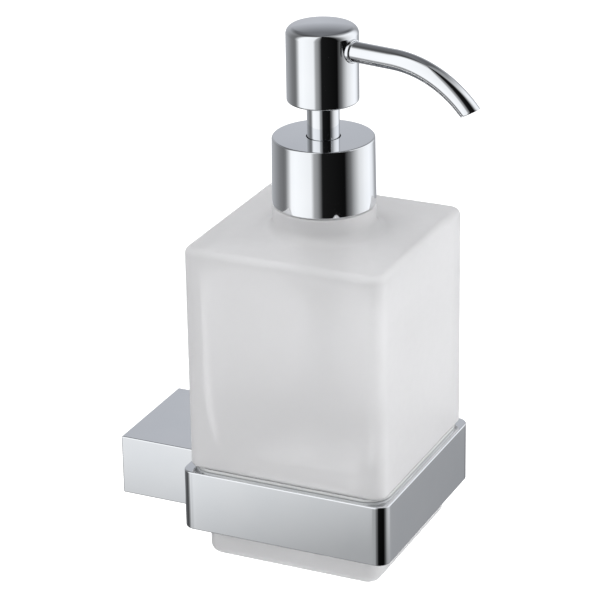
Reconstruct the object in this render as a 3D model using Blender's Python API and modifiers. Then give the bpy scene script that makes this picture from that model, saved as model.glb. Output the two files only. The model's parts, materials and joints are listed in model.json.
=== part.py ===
"""Wall mounted soap dispenser: a square frosted glass bottle with a press pump, standing in a square
chromed ring that a bracket block holds off the wall.

Units are metres and +Z is up. The origin is the middle of the face that meets the wall, the wall is the
plane Y = 0, and the dispenser stands out towards -Y. Heights are measured from the middle of the ring.
Pieces are grouped by empties that sit on the axes they move on.
"""

import math

import bmesh
import bpy

# Driving dimensions
RING_WIDTH = 0.075
RING_HEIGHT = 0.0215
RING_WALL = 0.0046
RING_CORNER = 0.0042
BLOCK_WIDTH = 0.0436
BLOCK_DEPTH = 0.0305
BLOCK_WALL = 0.0025
BLOCK_FRONT_WALL = 0.003
BODY_WIDTH = 0.0713
BODY_CORNER = 0.0045
BODY_TOP = 0.0909
FOOT_WIDTH = 0.0629
FOOT_BOTTOM = -0.0223
GLASS_WALL = 0.0038
BODY_EDGE = 0.0025
BODY_BASE_EDGE = 0.0012
FOOT_EDGE = 0.0033
FOOT_CORNER = 0.005
NECK_RADIUS = 0.0136
COLLAR_BOTTOM = 0.1
COLLAR_TOP = 0.1228
COLLAR_RADIUS_TOP = 0.017
COLLAR_RADIUS_BOTTOM = 0.0173
HEAD_BOTTOM = 0.1351
HEAD_TOP = 0.1611
HEAD_RADIUS = 0.0119
STEM_RADIUS = 0.0054
SPOUT_HEIGHT = 0.1536
SPOUT_RADIUS = 0.00337
SPOUT_STRAIGHT_END = 0.0272
SPOUT_BEND_RADIUS = 0.0389
SPOUT_BEND_ANGLE = math.radians(49)
SPOUT_HEADING = math.radians(-100)
GAP = 0.0003

# Worked out from them
RING_TOP = RING_HEIGHT / 2
RING_BOTTOM = -RING_HEIGHT / 2
RING_OPENING = RING_WIDTH - 2 * RING_WALL
RING_OPENING_CORNER = RING_CORNER + 0.0013
RING_BACK_Y = -BLOCK_DEPTH - GAP
AXIS_Y = RING_BACK_Y - RING_WIDTH / 2
NECK_RIM = COLLAR_BOTTOM + 0.013
NECK_BORE = 0.01

FINE_STEPS = 40
COARSE_STEPS = 24
MERGE = 0.00001


def clear_scene():
    for obj in list(bpy.data.objects):
        bpy.data.objects.remove(obj, do_unlink=True)


def new_collection(name):
    made = bpy.data.collections.new(name)
    bpy.context.scene.collection.children.link(made)
    return made


clear_scene()
PARTS = new_collection("wall_soap_dispenser")
CUTTERS = new_collection("cutters")


def new_material(name, colour, roughness, metallic=0.0, transmission=0.0):
    material = bpy.data.materials.new(name)
    material.use_nodes = True
    shader = material.node_tree.nodes["Principled BSDF"]
    shader.inputs["Base Color"].default_value = (*colour, 1.0)
    shader.inputs["Roughness"].default_value = roughness
    shader.inputs["Metallic"].default_value = metallic
    shader.inputs["Transmission Weight"].default_value = transmission
    material.diffuse_color = (*colour, 1.0)
    return material


CHROME = new_material("chrome", (0.78, 0.79, 0.81), 0.06, metallic=1.0)
ZINC = new_material("zinc_plate", (0.55, 0.56, 0.58), 0.4, metallic=1.0)
STEEL = new_material("steel", (0.6, 0.6, 0.6), 0.3, metallic=1.0)
FROSTED_GLASS = new_material("frosted_glass", (0.86, 0.87, 0.88), 0.45, transmission=0.35)
WHITE_PLASTIC = new_material("white_plastic", (0.85, 0.85, 0.84), 0.4)
CLEAR_PLASTIC = new_material("clear_plastic", (0.82, 0.84, 0.85), 0.25, transmission=0.6)
SOFT_PLASTIC = new_material("soft_plastic", (0.75, 0.76, 0.76), 0.55)


# Modelling helpers

def empty(name, location, heading=0.0, parent=None):
    made = bpy.data.objects.new(name, None)
    made.empty_display_size = 0.01
    made.location = location
    made.rotation_euler.z = heading
    made.parent = parent
    PARTS.objects.link(made)
    return made


def add_piece(name, mesh, material, parent=None):
    """A named piece of the dispenser, in the frame of its parent."""
    made = bpy.data.objects.new(name, mesh)
    mesh.materials.append(material)
    made.parent = parent
    PARTS.objects.link(made)
    return made


def add_cutter(name, mesh, parent=None):
    made = bpy.data.objects.new(name, mesh)
    made.parent = parent
    made.hide_render = True
    made.display_type = "WIRE"
    CUTTERS.objects.link(made)
    return made


def mesh_from(name, shape):
    mesh = bpy.data.meshes.new(name)
    bmesh.ops.recalc_face_normals(shape, faces=shape.faces)
    shape.to_mesh(mesh)
    shape.free()
    return mesh


def box_mesh(name, low, high, upright_radius=0.0, segments=6):
    """A box between two corners, with its upright edges rounded if a radius is given."""
    shape = bmesh.new()
    bmesh.ops.create_cube(shape, size=1.0)
    for point in shape.verts:
        for axis in range(3):
            middle = (low[axis] + high[axis]) / 2
            point.co[axis] = middle + point.co[axis] * (high[axis] - low[axis])
    if upright_radius:
        upright = [edge for edge in shape.edges if abs(edge.verts[0].co.z - edge.verts[1].co.z) > MERGE]
        bmesh.ops.bevel(
            shape, geom=upright, offset=upright_radius, segments=segments, profile=0.5, affect="EDGES"
        )
    return mesh_from(name, shape)


def rod_mesh(name, radius, length, sides=COARSE_STEPS):
    """A cylinder along Z with its lower end at the origin."""
    shape = bmesh.new()
    bmesh.ops.create_cone(
        shape, cap_ends=True, segments=sides, radius1=radius, radius2=radius, depth=length
    )
    bmesh.ops.translate(shape, verts=shape.verts, vec=(0, 0, length / 2))
    return mesh_from(name, shape)


def ball_mesh(name, radius):
    shape = bmesh.new()
    bmesh.ops.create_uvsphere(shape, u_segments=16, v_segments=10, radius=radius)
    return mesh_from(name, shape)


def turned(name, profile, material, parent=None, steps=COARSE_STEPS):
    """A turned piece. Its (radius, height) profile runs down the outer side, then up the inner side."""
    ends_on_axis = profile[0][0] == 0.0
    edges = [(i, i + 1) for i in range(len(profile) - 1)]
    if not ends_on_axis:
        edges.append((len(profile) - 1, 0))
    mesh = bpy.data.meshes.new(name)
    mesh.from_pydata([(radius, 0.0, height) for radius, height in profile], edges, [])
    made = add_piece(name, mesh, material, parent)
    turn = made.modifiers.new("turn", "SCREW")
    turn.steps = steps
    turn.render_steps = steps
    turn.use_merge_vertices = True
    turn.merge_threshold = MERGE
    turn.use_smooth_shade = True
    return made


def arc(middle_radius, middle_height, radius, start, end, points):
    """Points on an arc of a profile, with its angles in degrees from the outward direction."""
    angles = [math.radians(start + (end - start) * i / (points - 1)) for i in range(points)]
    return [
        (middle_radius + radius * math.cos(a), middle_height + radius * math.sin(a)) for a in angles
    ]


def cut(target, cutter):
    boolean = target.modifiers.new(cutter.name, "BOOLEAN")
    boolean.operation = "DIFFERENCE"
    boolean.solver = "EXACT"
    boolean.object = cutter
    return target


def join(target, other):
    boolean = target.modifiers.new(other.name, "BOOLEAN")
    boolean.operation = "UNION"
    boolean.solver = "EXACT"
    boolean.object = other
    return target


def soften(target, width, segments=2):
    """Small rounded edges on the sharp corners of a piece."""
    bevel = target.modifiers.new("edges", "BEVEL")
    bevel.width = width
    bevel.segments = segments
    bevel.limit_method = "ANGLE"
    bevel.angle_limit = math.radians(40)
    return target


def drill(target, name, location, radius, length, tilt=(0.0, 0.0, 0.0), parent=None):
    """A round hole from a point along +Z, turned by tilt."""
    drilled = add_cutter(name, rod_mesh(name, radius, length), parent)
    drilled.location = location
    drilled.rotation_euler = tilt
    return cut(target, drilled)


def tube_along(name, points, radius, parent=None, sides_level=4):
    """The mesh of a solid round bar through points, with its caps welded on."""
    curve = bpy.data.curves.new(name + "_route", "CURVE")
    curve.dimensions = "3D"
    curve.bevel_depth = radius
    curve.bevel_resolution = sides_level
    curve.use_fill_caps = True
    route = curve.splines.new("POLY")
    route.points.add(len(points) - 1)
    for point, place in zip(route.points, points):
        point.co = (*place, 1.0)
    guide = bpy.data.objects.new(name + "_route", curve)
    bpy.context.scene.collection.objects.link(guide)
    bpy.context.view_layer.update()
    evaluated = guide.evaluated_get(bpy.context.evaluated_depsgraph_get())
    mesh = bpy.data.meshes.new_from_object(evaluated)
    mesh.name = name
    shape = bmesh.new()
    shape.from_mesh(mesh)
    bmesh.ops.remove_doubles(shape, verts=shape.verts, dist=MERGE)
    bmesh.ops.recalc_face_normals(shape, faces=shape.faces)
    shape.to_mesh(mesh)
    shape.free()
    mesh.materials.clear()
    bpy.data.objects.remove(guide, do_unlink=True)
    return mesh


# The bracket on the wall

WALL_SCREW_X = 0.0125
WALL_SCREW_HOLE = 0.0024
PLATE_THICKNESS = 0.003
PLATE_CLEARANCE = 0.0004
TONGUE_HALF_HEIGHT = 0.005
TONGUE_HALF_WIDTH = 0.006
TONGUE_END_Y = -0.0155
GRUB_Y = -0.0095
RING_SCREW_X = 0.0105
RING_SCREW_HOLE = 0.0018
RING_SCREW_DEPTH = 0.0041
GRUB_HOLE = 0.0023
CUT_MARGIN = 0.001
TOWARDS_ROOM = (math.radians(90), 0.0, 0.0)


def make_wall_plate(root):
    half_width = BLOCK_WIDTH / 2 - BLOCK_WALL - PLATE_CLEARANCE
    half_height = RING_HEIGHT / 2 - BLOCK_WALL - PLATE_CLEARANCE
    low = (-half_width, -PLATE_THICKNESS, -half_height)
    high = (half_width, 0.0, half_height)
    plate = add_piece("wall_plate", box_mesh("wall_plate", low, high), ZINC, root)
    low = (-TONGUE_HALF_WIDTH, TONGUE_END_Y, -TONGUE_HALF_HEIGHT)
    high = (TONGUE_HALF_WIDTH, -PLATE_THICKNESS / 2, TONGUE_HALF_HEIGHT)
    join(plate, add_cutter("plate_tongue", box_mesh("plate_tongue", low, high), root))
    for side, x in (("left", -WALL_SCREW_X), ("right", WALL_SCREW_X)):
        place, depth = (x, CUT_MARGIN, 0.0), PLATE_THICKNESS + 2 * CUT_MARGIN
        drill(plate, f"plate_hole_{side}", place, WALL_SCREW_HOLE, depth, TOWARDS_ROOM, root)
    return plate


def make_wall_block(root):
    """The chromed block: hollow, open to the wall, and drilled for its fixings."""
    half_width, half_height = BLOCK_WIDTH / 2, RING_HEIGHT / 2
    low, high = (-half_width, -BLOCK_DEPTH, -half_height), (half_width, 0.0, half_height)
    block = add_piece("wall_block", box_mesh("wall_block", low, high), CHROME, root)
    soften(block, 0.0004)
    low = (-half_width + BLOCK_WALL, -BLOCK_DEPTH + BLOCK_FRONT_WALL, -half_height + BLOCK_WALL)
    high = (half_width - BLOCK_WALL, CUT_MARGIN, half_height - BLOCK_WALL)
    cut(block, add_cutter("block_hollow", box_mesh("block_hollow", low, high), root))
    for side, x in (("left", -RING_SCREW_X), ("right", RING_SCREW_X)):
        place = (x, -BLOCK_DEPTH + BLOCK_FRONT_WALL + CUT_MARGIN, 0.0)
        depth = BLOCK_FRONT_WALL + 2 * CUT_MARGIN
        drill(block, f"block_hole_{side}", place, RING_SCREW_HOLE, depth, TOWARDS_ROOM, root)
    place = (0.0, GRUB_Y, -half_height - CUT_MARGIN)
    drill(block, "grub_hole", place, GRUB_HOLE, BLOCK_WALL + 2 * CUT_MARGIN, parent=root)
    return block


def make_grub_screw(root):
    """The set screw that pulls the block onto the plate's tongue from below."""
    length = RING_HEIGHT / 2 - TONGUE_HALF_HEIGHT - 2 * GAP
    radius, flat = 0.002, 0.0011
    profile = [(0.0, 0.0), (flat, 0.0), (radius, flat - radius), (radius, -length), (0.0, -length)]
    screw = turned("grub_screw", profile, STEEL, root)
    screw.location = (0.0, GRUB_Y, -TONGUE_HALF_HEIGHT - GAP)
    mesh = rod_mesh("grub_socket", 0.00115, 0.002 + CUT_MARGIN, 6)
    socket = add_cutter("grub_socket", mesh, screw)
    socket.location.z = -length - CUT_MARGIN
    return cut(screw, socket)


def make_ring_screw(side, x, root):
    """A socket head screw from inside the block into the back of the ring."""
    head, height, shank, length, edge = 0.0026, 0.003, 0.0015, 0.0073, 0.0003
    profile = [(0.0, height), (head - edge, height), (head, height - edge), (head, 0.0), (shank, 0.0)]
    profile += [(shank, edge - length), (shank - edge, -length), (0.0, -length)]
    screw = turned(f"ring_screw_{side}", profile, STEEL, root)
    screw.location = (x, -BLOCK_DEPTH + BLOCK_FRONT_WALL + GAP, 0.0)
    screw.rotation_euler = (math.radians(-90), 0.0, 0.0)
    depth = 0.0018
    mesh = rod_mesh("ring_socket", 0.0014, depth + CUT_MARGIN, 6)
    socket = add_cutter(f"ring_socket_{side}", mesh, screw)
    socket.location.z = height - depth
    return cut(screw, socket)


# The ring and the bottle in it

def square_mesh(name, width, bottom, top, corner):
    """An upright square block on the bottle's axis."""
    half = width / 2
    return box_mesh(name, (-half, -half, bottom), (half, half, top), corner)


def make_holder_ring(axis):
    mesh = square_mesh("holder_ring", RING_WIDTH, RING_BOTTOM, RING_TOP, RING_CORNER)
    ring = add_piece("holder_ring", mesh, CHROME, axis)
    bottom, top = RING_BOTTOM - CUT_MARGIN, RING_TOP + CUT_MARGIN
    mesh = square_mesh("ring_opening", RING_OPENING, bottom, top, RING_OPENING_CORNER)
    cut(ring, add_cutter("ring_opening", mesh, axis))
    soften(ring, 0.00045)
    for side, x in (("left", -RING_SCREW_X), ("right", RING_SCREW_X)):
        place, depth = (x, RING_WIDTH / 2 + CUT_MARGIN, 0.0), RING_SCREW_DEPTH + CUT_MARGIN
        drill(ring, f"ring_hole_{side}", place, RING_SCREW_HOLE, depth, TOWARDS_ROOM, axis)
    return ring


LINER_LIP = 0.0005
LINER_LIP_REACH = 0.0024
LINER_WALL = 0.0008
LINER_RECESS = 0.003
BODY_BOTTOM = RING_TOP + LINER_LIP + 2 * GAP


def make_ring_liner(axis):
    """A thin soft sleeve with a lip, between the glass and the metal of the ring."""
    outside = RING_OPENING - 2 * GAP
    inside = outside - 2 * LINER_WALL
    lip = RING_OPENING + 2 * LINER_LIP_REACH
    lip_bottom, lip_top = RING_TOP + GAP, RING_TOP + GAP + LINER_LIP
    corner = RING_OPENING_CORNER - GAP
    mesh = square_mesh("ring_liner", outside, RING_BOTTOM + LINER_RECESS, lip_top, corner)
    liner = add_piece("ring_liner", mesh, SOFT_PLASTIC, axis)
    mesh = square_mesh("liner_lip", lip, lip_bottom, lip_top, corner + LINER_LIP_REACH)
    join(liner, add_cutter("liner_lip", mesh, axis))
    bottom, top = RING_BOTTOM - CUT_MARGIN, lip_top + CUT_MARGIN
    mesh = square_mesh("liner_opening", inside, bottom, top, corner - LINER_WALL)
    cut(liner, add_cutter("liner_opening", mesh, axis))
    return liner


# Directions in which the bottle's square sections have a point, in one quarter turn
SIDE_ANGLES = (0.0, 11.25, 22.5, 33.0)
CORNER_ANGLES = (39.5, 42.3, 45.0, 47.7, 50.5)
QUARTER = SIDE_ANGLES + CORNER_ANGLES + tuple(90.0 - angle for angle in SIDE_ANGLES[:0:-1])


def square_point(angle, half, corner):
    """The point of a square with round corners in one direction. At corner = half it is a circle."""
    x, y = math.cos(angle), math.sin(angle)
    flat = half - corner
    if min(abs(x), abs(y)) * half <= flat * max(abs(x), abs(y)):
        reach = half / max(abs(x), abs(y))
    else:
        along = flat * (abs(x) + abs(y))
        reach = along + math.sqrt(along * along - 2 * flat * flat + corner * corner)
    return reach * x, reach * y


def loft(name, sections):
    """A closed body through (half width, corner radius, height) sections, from one end to the other."""
    angles = [math.radians(90 * quarter + angle) for quarter in range(4) for angle in QUARTER]
    shape = bmesh.new()
    rings = [
        [shape.verts.new((*square_point(angle, half, corner), height)) for angle in angles]
        for half, corner, height in sections
    ]
    count = len(angles)
    for lower, upper in zip(rings, rings[1:]):
        for i in range(count):
            shape.faces.new((lower[i], lower[(i + 1) % count], upper[(i + 1) % count], upper[i]))
    shape.faces.new(rings[0])
    shape.faces.new(rings[-1])
    return mesh_from(name, shape)


def rounded_edge(half, corner, height, radius, start, end, points=4):
    """Sections round a horizontal edge whose arc has its middle at this height."""
    sections = []
    for reach, level in arc(half - radius, height, radius, start, end, points):
        sections.append((reach, corner - (half - reach), level))
    return sections


def round_sections(profile):
    return [(radius, radius, height) for radius, height in profile]


def make_bottle(axis):
    """Outside from the foot up to the neck's rim, then inside down through the bore to the floor."""
    body, foot = BODY_WIDTH / 2, FOOT_WIDTH / 2
    boss, neck, fillet = COLLAR_RADIUS_BOTTOM, NECK_RADIUS, 0.0034
    sections = rounded_edge(foot, FOOT_CORNER, FOOT_BOTTOM + FOOT_EDGE, FOOT_EDGE, -90, 0)
    sections += [(foot, FOOT_CORNER, BODY_BOTTOM)]
    sections += rounded_edge(body, BODY_CORNER, BODY_BOTTOM + BODY_BASE_EDGE, BODY_BASE_EDGE, -90, 0)
    sections += rounded_edge(body, BODY_CORNER, BODY_TOP - BODY_EDGE, BODY_EDGE, 0, 90)
    sections += round_sections(arc(boss + fillet, BODY_TOP + fillet, fillet, 270, 180, 4))
    sections += round_sections([(boss, COLLAR_BOTTOM - 0.0008), (boss - 0.0005, COLLAR_BOTTOM - GAP)])
    sections += round_sections([(neck + 0.0005, COLLAR_BOTTOM - GAP), (neck, COLLAR_BOTTOM + 0.0005)])
    sections += round_sections([(neck, NECK_RIM - 0.0005), (neck - 0.0005, NECK_RIM)])
    sections += round_sections([(NECK_BORE + 0.0004, NECK_RIM), (NECK_BORE, NECK_RIM - 0.0004)])
    hollow = body - GLASS_WALL
    sections += round_sections([(NECK_BORE, BODY_TOP + 0.003), (0.0115, BODY_TOP - 0.001)])
    sections += [(0.0155, 0.0155, BODY_TOP - 0.0035), (0.024, 0.016, BODY_TOP - 0.0045)]
    sections += [(hollow - 0.0012, 0.008, BODY_TOP - 0.0065), (hollow, 0.0065, BODY_TOP - 0.011)]
    sections += [(hollow, 0.0065, BODY_BOTTOM + 0.012), (hollow - 0.0015, 0.008, BODY_BOTTOM + 0.006)]
    sections += [(0.0255, 0.0085, BODY_BOTTOM + 0.0005), (0.0247, 0.009, BODY_BOTTOM - 0.008)]
    sections += [(0.0245, 0.009, FOOT_BOTTOM + 0.012), (0.0225, 0.01, FOOT_BOTTOM + 0.008)]
    sections += [(0.016, 0.009, FOOT_BOTTOM + 0.0064)]
    return add_piece("bottle", loft("bottle", sections), FROSTED_GLASS, axis)


# The pump in the bottle's neck

GASKET_BOTTOM = NECK_RIM + GAP
GASKET_TOP = GASKET_BOTTOM + 0.001
FLANGE_BOTTOM = GASKET_TOP + GAP
FLANGE_TOP = FLANGE_BOTTOM + 0.0014
BUSH_BOTTOM = FLANGE_TOP + GAP
BUSH_TOP = BUSH_BOTTOM + 0.0012
BUSH_END = 0.108
BARREL_BORE = 0.00675
BARREL_RADIUS = 0.0085
FLANGE_RADIUS = 0.0134
SPRING_SEAT = 0.0735
TUBE_SOCKET_BOTTOM = 0.057
TUBE_SOCKET_TOP = 0.0626
VALVE_SEAT = 0.0636
DIP_TUBE_RADIUS = 0.003
DIP_TUBE_BOTTOM = FOOT_BOTTOM + 0.0088


def make_neck_gasket(axis):
    profile = [(0.0105, GASKET_TOP), (0.0133, GASKET_TOP), (0.0133, GASKET_BOTTOM), (0.0105, GASKET_BOTTOM)]
    return turned("neck_gasket", profile, SOFT_PLASTIC, axis)


def make_pump_housing(axis):
    """The pump's barrel: a flange on the rim, the cylinder, and the inlet valve's seat over the tube."""
    socket = DIP_TUBE_RADIUS + GAP
    profile = [(BARREL_BORE, FLANGE_TOP), (FLANGE_RADIUS, FLANGE_TOP), (FLANGE_RADIUS, FLANGE_BOTTOM)]
    profile += [(BARREL_RADIUS, FLANGE_BOTTOM), (BARREL_RADIUS, SPRING_SEAT), (0.0062, 0.07)]
    profile += [(0.0048, 0.069), (0.0048, TUBE_SOCKET_BOTTOM), (socket, TUBE_SOCKET_BOTTOM)]
    profile += [(socket, TUBE_SOCKET_TOP), (0.0015, TUBE_SOCKET_TOP), (0.0015, VALVE_SEAT)]
    profile += [(0.003, VALVE_SEAT + 0.0016), (0.0033, VALVE_SEAT + 0.0024), (0.0033, SPRING_SEAT - 0.002)]
    profile += [(BARREL_BORE, SPRING_SEAT)]
    housing = turned("pump_housing", profile, WHITE_PLASTIC, axis)
    sideways = (0.0, math.radians(90), 0.0)
    return drill(housing, "vent_hole", (0.004, 0.0, 0.111), 0.0006, 0.006, sideways, axis)


def make_guide_bush(axis):
    bore, sleeve = STEM_RADIUS + GAP, BARREL_BORE - GAP
    profile = [(bore, BUSH_TOP), (0.012, BUSH_TOP), (0.012, BUSH_BOTTOM), (sleeve, BUSH_BOTTOM)]
    profile += [(sleeve, BUSH_END), (bore, BUSH_END)]
    return turned("guide_bush", profile, WHITE_PLASTIC, axis)


def make_dip_tube(axis):
    """The suction tube, cut at a slant at its lower end."""
    top, inner = TUBE_SOCKET_TOP - GAP, DIP_TUBE_RADIUS - 0.0008
    profile = [(inner, top), (DIP_TUBE_RADIUS, top)]
    profile += [(DIP_TUBE_RADIUS, DIP_TUBE_BOTTOM), (inner, DIP_TUBE_BOTTOM)]
    tube = turned("dip_tube", profile, CLEAR_PLASTIC, axis)
    mesh = box_mesh("tube_slant", (-0.01, -0.01, -0.01), (0.01, 0.01, 0.0))
    slant = add_cutter("tube_slant", mesh, axis)
    slant.location.z = DIP_TUBE_BOTTOM + 0.0024
    slant.rotation_euler.y = math.radians(30)
    return cut(tube, slant)


INLET_BALL_RADIUS = 0.0025
INLET_BALL_HEIGHT = VALVE_SEAT + 0.0026
OUTLET_BALL_RADIUS = 0.002
OUTLET_SEAT = 0.1344
OUTLET_BALL_HEIGHT = OUTLET_SEAT + 0.0019


def make_ball(name, radius, height, axis):
    ball = add_piece(name, ball_mesh(name, radius), STEEL, axis)
    ball.location.z = height
    return ball


PISTON_TOP = BUSH_END - 0.0004
PISTON_BOTTOM = PISTON_TOP - 0.0086
ROD_TAIL = 0.091
ROD_TOP = 0.143
SLEEVE_TOP = 0.1396


def make_piston(axis):
    """The sliding seal, with a lip at each end."""
    bore, lip, waist = 0.0033, BARREL_BORE - GAP, 0.0054
    profile = [(bore, PISTON_TOP), (lip, PISTON_TOP), (lip, PISTON_TOP - 0.0022)]
    profile += [(waist, PISTON_TOP - 0.003), (waist, PISTON_BOTTOM + 0.003)]
    profile += [(lip, PISTON_BOTTOM + 0.0022), (lip, PISTON_BOTTOM), (bore, PISTON_BOTTOM)]
    return turned("piston", profile, SOFT_PLASTIC, axis)


def make_piston_rod(axis):
    """The hollow rod that carries the liquid up, with the outlet valve's seat near its top."""
    chamber, wide, thin, bore = 0.00235, 0.0044, 0.003, 0.0015
    profile = [(chamber, ROD_TOP), (wide, ROD_TOP), (wide, PISTON_TOP + 0.0008)]
    profile += [(thin, PISTON_TOP + GAP), (thin, ROD_TAIL), (bore, ROD_TAIL)]
    profile += [(bore, OUTLET_SEAT), (chamber, OUTLET_SEAT + 0.0012)]
    return turned("piston_rod", profile, WHITE_PLASTIC, axis)


SPRING_RADIUS = 0.005
SPRING_WIRE = 0.0004
SPRING_TURNS = 7
SPRING_POINTS_PER_TURN = 16


def make_return_spring(axis):
    """A coil whose end turns lie close together."""
    bottom = SPRING_SEAT + SPRING_WIRE + 0.0004
    rise = PISTON_BOTTOM - GAP - SPRING_WIRE - bottom
    end_rise = 0.0011
    points = []
    for i in range(SPRING_TURNS * SPRING_POINTS_PER_TURN + 1):
        turn = i / SPRING_POINTS_PER_TURN
        if turn < 1:
            height = end_rise * turn
        elif turn > SPRING_TURNS - 1:
            height = rise - end_rise * (SPRING_TURNS - turn)
        else:
            height = end_rise + (rise - 2 * end_rise) * (turn - 1) / (SPRING_TURNS - 2)
        angle = 2 * math.pi * turn
        points.append((SPRING_RADIUS * math.cos(angle), SPRING_RADIUS * math.sin(angle), bottom + height))
    mesh = tube_along("return_spring", points, SPRING_WIRE, sides_level=2)
    return add_piece("return_spring", mesh, STEEL, axis)


# The screwed collar

COLLAR_SKIN = 0.0007
COLLAR_ROOF = 0.0011
INSERT_BORE = 0.0145


def make_collar(axis):
    bore, under = STEM_RADIUS + GAP, COLLAR_TOP - COLLAR_ROOF
    edge, chamfer = 0.0006, 0.0003
    profile = [(bore, COLLAR_TOP)]
    profile += arc(COLLAR_RADIUS_TOP - edge, COLLAR_TOP - edge, edge, 90, 0, 3)
    profile += [(COLLAR_RADIUS_BOTTOM, COLLAR_BOTTOM + chamfer)]
    profile += [(COLLAR_RADIUS_BOTTOM - chamfer, COLLAR_BOTTOM)]
    profile += [(COLLAR_RADIUS_BOTTOM - COLLAR_SKIN, COLLAR_BOTTOM)]
    profile += [(COLLAR_RADIUS_TOP - COLLAR_SKIN, under), (bore, under)]
    return turned("collar", profile, CHROME, axis, FINE_STEPS)


def make_collar_insert(axis):
    """The threaded closure inside the collar, drawn with a plain bore that clears the neck's thread."""
    outside, bore = COLLAR_RADIUS_TOP - COLLAR_SKIN - GAP, STEM_RADIUS + 2 * GAP
    top, under = COLLAR_TOP - COLLAR_ROOF - GAP, BUSH_TOP + GAP
    bottom, edge = COLLAR_BOTTOM + GAP, 0.0004
    profile = [(bore, top), (outside - edge, top), (outside, top - edge)]
    profile += [(outside, bottom), (INSERT_BORE, bottom), (INSERT_BORE, under), (bore, under)]
    return turned("collar_insert", profile, WHITE_PLASTIC, axis)


# The head and its spout, which turn together about the pump's axis

HEAD_SKIN = 0.0009
HEAD_SHOULDER = 0.0024
HEAD_BOTTOM_EDGE = 0.0007
CROWN_RISE = 0.0007


def head_outline(radius, bottom, top, shoulder, crown):
    """The outer side of the head from the middle of its crown down to its bottom edge."""
    shoulder_height = top - crown - shoulder
    inner = radius - shoulder
    points = [(0.0, top), (inner * 0.4, top - crown * 0.16), (inner * 0.75, top - crown * 0.5625)]
    points += arc(inner, shoulder_height, shoulder, 90, 0, 5)
    return points + [(radius, bottom)]


def make_head(head_axis):
    edge = HEAD_BOTTOM_EDGE
    outer = head_outline(HEAD_RADIUS, HEAD_BOTTOM + edge, HEAD_TOP, HEAD_SHOULDER, CROWN_RISE)
    outer += arc(HEAD_RADIUS - edge, HEAD_BOTTOM + edge, edge, -30, -90, 3)
    inner = head_outline(
        HEAD_RADIUS - HEAD_SKIN, HEAD_BOTTOM, HEAD_TOP - HEAD_SKIN, HEAD_SHOULDER - HEAD_SKIN, CROWN_RISE
    )
    head = turned("head", outer + inner[::-1], CHROME, head_axis, FINE_STEPS)
    return drill(
        head,
        "head_side_hole",
        (0.006, 0.0, SPOUT_HEIGHT),
        SPOUT_RADIUS + GAP,
        0.012,
        (0.0, math.radians(90), 0.0),
        head_axis,
    )


WASHER_RECESS = 0.0004
WASHER_THICKNESS = 0.001


def make_head_base(head_axis):
    """The closing washer pressed into the open bottom of the head."""
    outside, bore = HEAD_RADIUS - HEAD_SKIN - GAP, STEM_RADIUS + GAP
    bottom, top = HEAD_BOTTOM + WASHER_RECESS, HEAD_BOTTOM + WASHER_RECESS + WASHER_THICKNESS
    profile = [(bore, top), (outside, top), (outside, bottom), (bore, bottom)]
    return turned("head_base", profile, CHROME, head_axis, FINE_STEPS)


CORE_BOTTOM = HEAD_BOTTOM + WASHER_RECESS + WASHER_THICKNESS + 0.0005
CORE_TOP = 0.157


def make_head_insert(head_axis):
    """The moulded core that joins the rod, the sleeve and the spout inside the head."""
    outside = HEAD_RADIUS - HEAD_SKIN - GAP
    sleeve_bore, rod_bore, channel = STEM_RADIUS + GAP, 0.0047, 0.0015
    profile = [(0.0, CORE_TOP), (outside - 0.0008, CORE_TOP), (outside, CORE_TOP - 0.001)]
    profile += [(outside, CORE_BOTTOM), (sleeve_bore, CORE_BOTTOM), (sleeve_bore, SLEEVE_TOP + GAP)]
    profile += [(rod_bore, SLEEVE_TOP + GAP), (rod_bore, ROD_TOP + GAP), (channel, ROD_TOP + GAP)]
    profile += [(channel, SPOUT_HEIGHT), (0.0, SPOUT_HEIGHT)]
    core = turned("head_insert", profile, WHITE_PLASTIC, head_axis)
    sideways = (0.0, math.radians(90), 0.0)
    drill(
        core, "spout_socket", (0.006, 0, SPOUT_HEIGHT), SPOUT_RADIUS + GAP, 0.008, sideways, head_axis
    )
    drill(core, "liner_channel", (-0.0008, 0, SPOUT_HEIGHT), 0.0026, 0.01, sideways, head_axis)
    return core


def make_stem_sleeve(head_axis):
    bottom, inside = BUSH_END + 0.0006, STEM_RADIUS - 0.0007
    profile = [(inside, SLEEVE_TOP), (STEM_RADIUS, SLEEVE_TOP), (STEM_RADIUS, bottom), (inside, bottom)]
    return turned("stem_sleeve", profile, CHROME, head_axis, FINE_STEPS)


def spout_route(start, overrun=0.0, shortfall=0.0, bend_points=12):
    """The middle line of the spout: level, then a bend down. It may run past its end or stop short."""
    route = [(start, 0.0, SPOUT_HEIGHT)]
    bend = SPOUT_BEND_ANGLE - shortfall / SPOUT_BEND_RADIUS
    for i in range(bend_points + 1):
        turn = bend * i / bend_points
        along = SPOUT_STRAIGHT_END + SPOUT_BEND_RADIUS * math.sin(turn)
        height = SPOUT_HEIGHT - SPOUT_BEND_RADIUS * (1 - math.cos(turn))
        route.append((along, 0.0, height))
    if overrun:
        along, _, height = route[-1]
        route.append((along + overrun * math.cos(bend), 0.0, height - overrun * math.sin(bend)))
    return route


SPOUT_START = 0.0064
SPOUT_BORE = 0.0026
MOUTH_SLANT = math.radians(12)


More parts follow.
